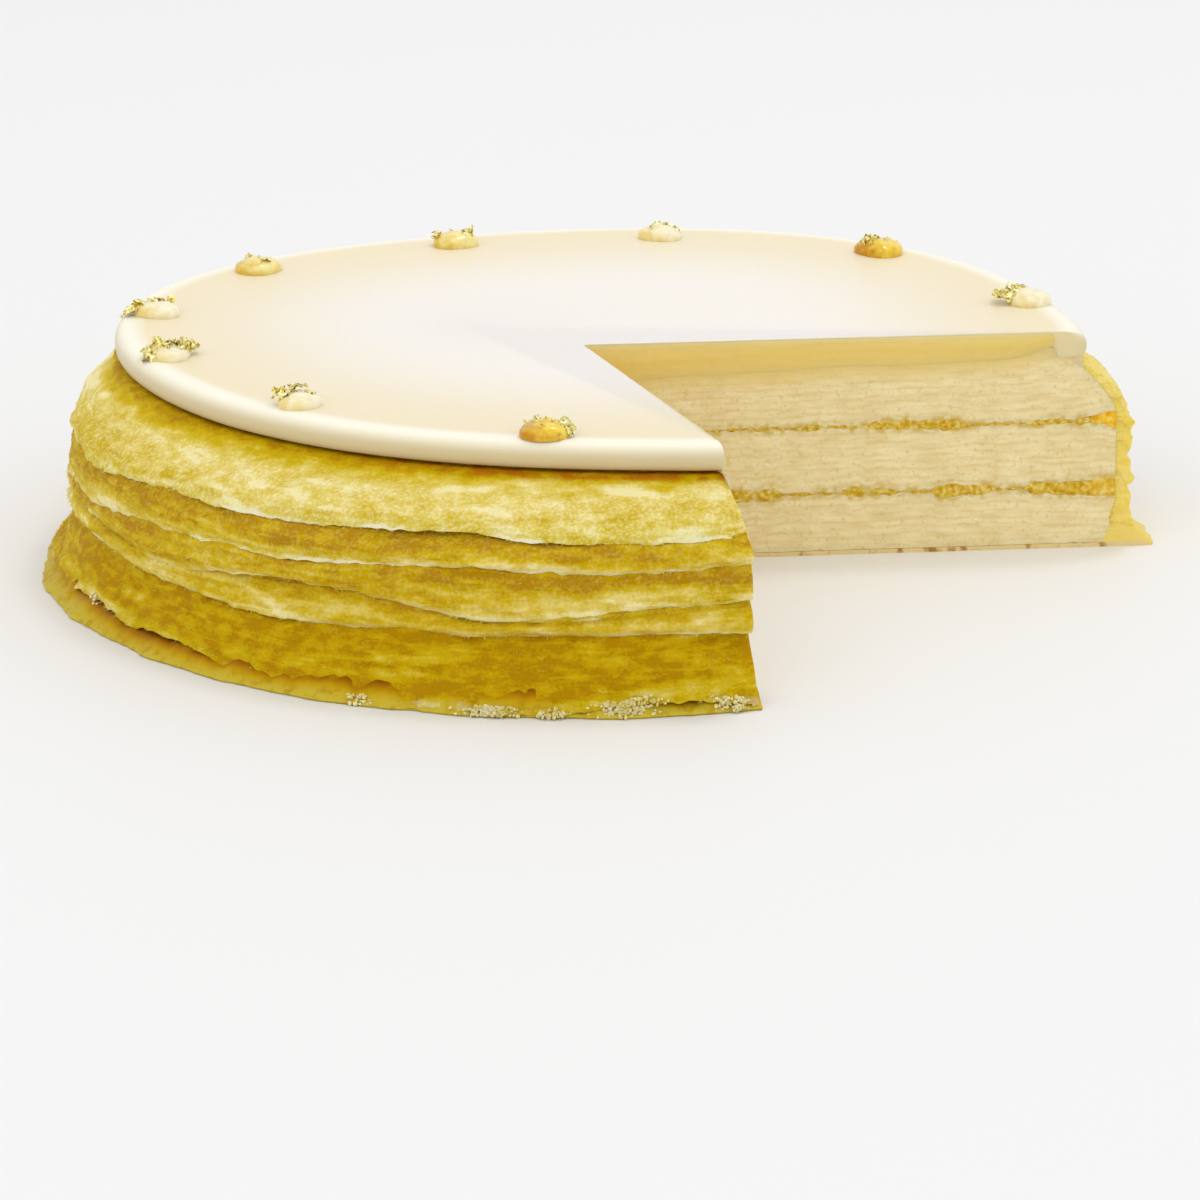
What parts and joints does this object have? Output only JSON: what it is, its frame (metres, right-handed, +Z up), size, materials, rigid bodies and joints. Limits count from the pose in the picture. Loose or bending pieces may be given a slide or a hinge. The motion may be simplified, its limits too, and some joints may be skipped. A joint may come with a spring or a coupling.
{
  "type": "crepe cake",
  "caption": "Round mille crepe cake with a slice removed: layered crepes and cream, yellow crepe edges draped down the side, a smooth cream cap and a ring of gilded gel drops.",
  "frame": {"origin": "where the cake's upright axis meets the flat underside it rests on", "axes": "+Z up, +Y towards the back, the missing slice opens towards +X and -Y"},
  "size_m": [0.2347, 0.2354, 0.0498],
  "materials": {
    "cream": "smooth satin whipped cream glaze",
    "custard": "smooth moist custard, cut",
    "crepe_and_cream": "matt, finely layered, cut",
    "crumb_filling": "moist crumbly paste",
    "draped_crepe": "soft satin crepe, thin bright edges",
    "browned_crepe": "browned moist crepe",
    "gel": "clear glossy gel with gold leaf",
    "gold_leaf": "crumpled edible gold leaf"
  },
  "bodies": {
    "root": {"base_crepe": "browned_crepe", "lower_crepe_stack": "crepe_and_cream", "lower_filling": "crumb_filling", "middle_crepe_stack": "crepe_and_cream", "upper_filling": "crumb_filling", "upper_crepe_stack": "crepe_and_cream", "custard": "custard", "cream_cap": "cream", "draped_crepe_1": "draped_crepe", "draped_crepe_2": "draped_crepe", "draped_crepe_3": "draped_crepe", "draped_crepe_4": "draped_crepe", "draped_crepe_5": "draped_crepe", "gel_drop_1": "gel", "gel_drop_2": "gel", "gel_drop_3": "gel", "gel_drop_4": "gel", "gel_drop_5": "gel", "gel_drop_6": "gel", "gel_drop_7": "gel", "gel_drop_8": "gel", "gel_drop_9": "gel"}
  },
  "joints": []
}
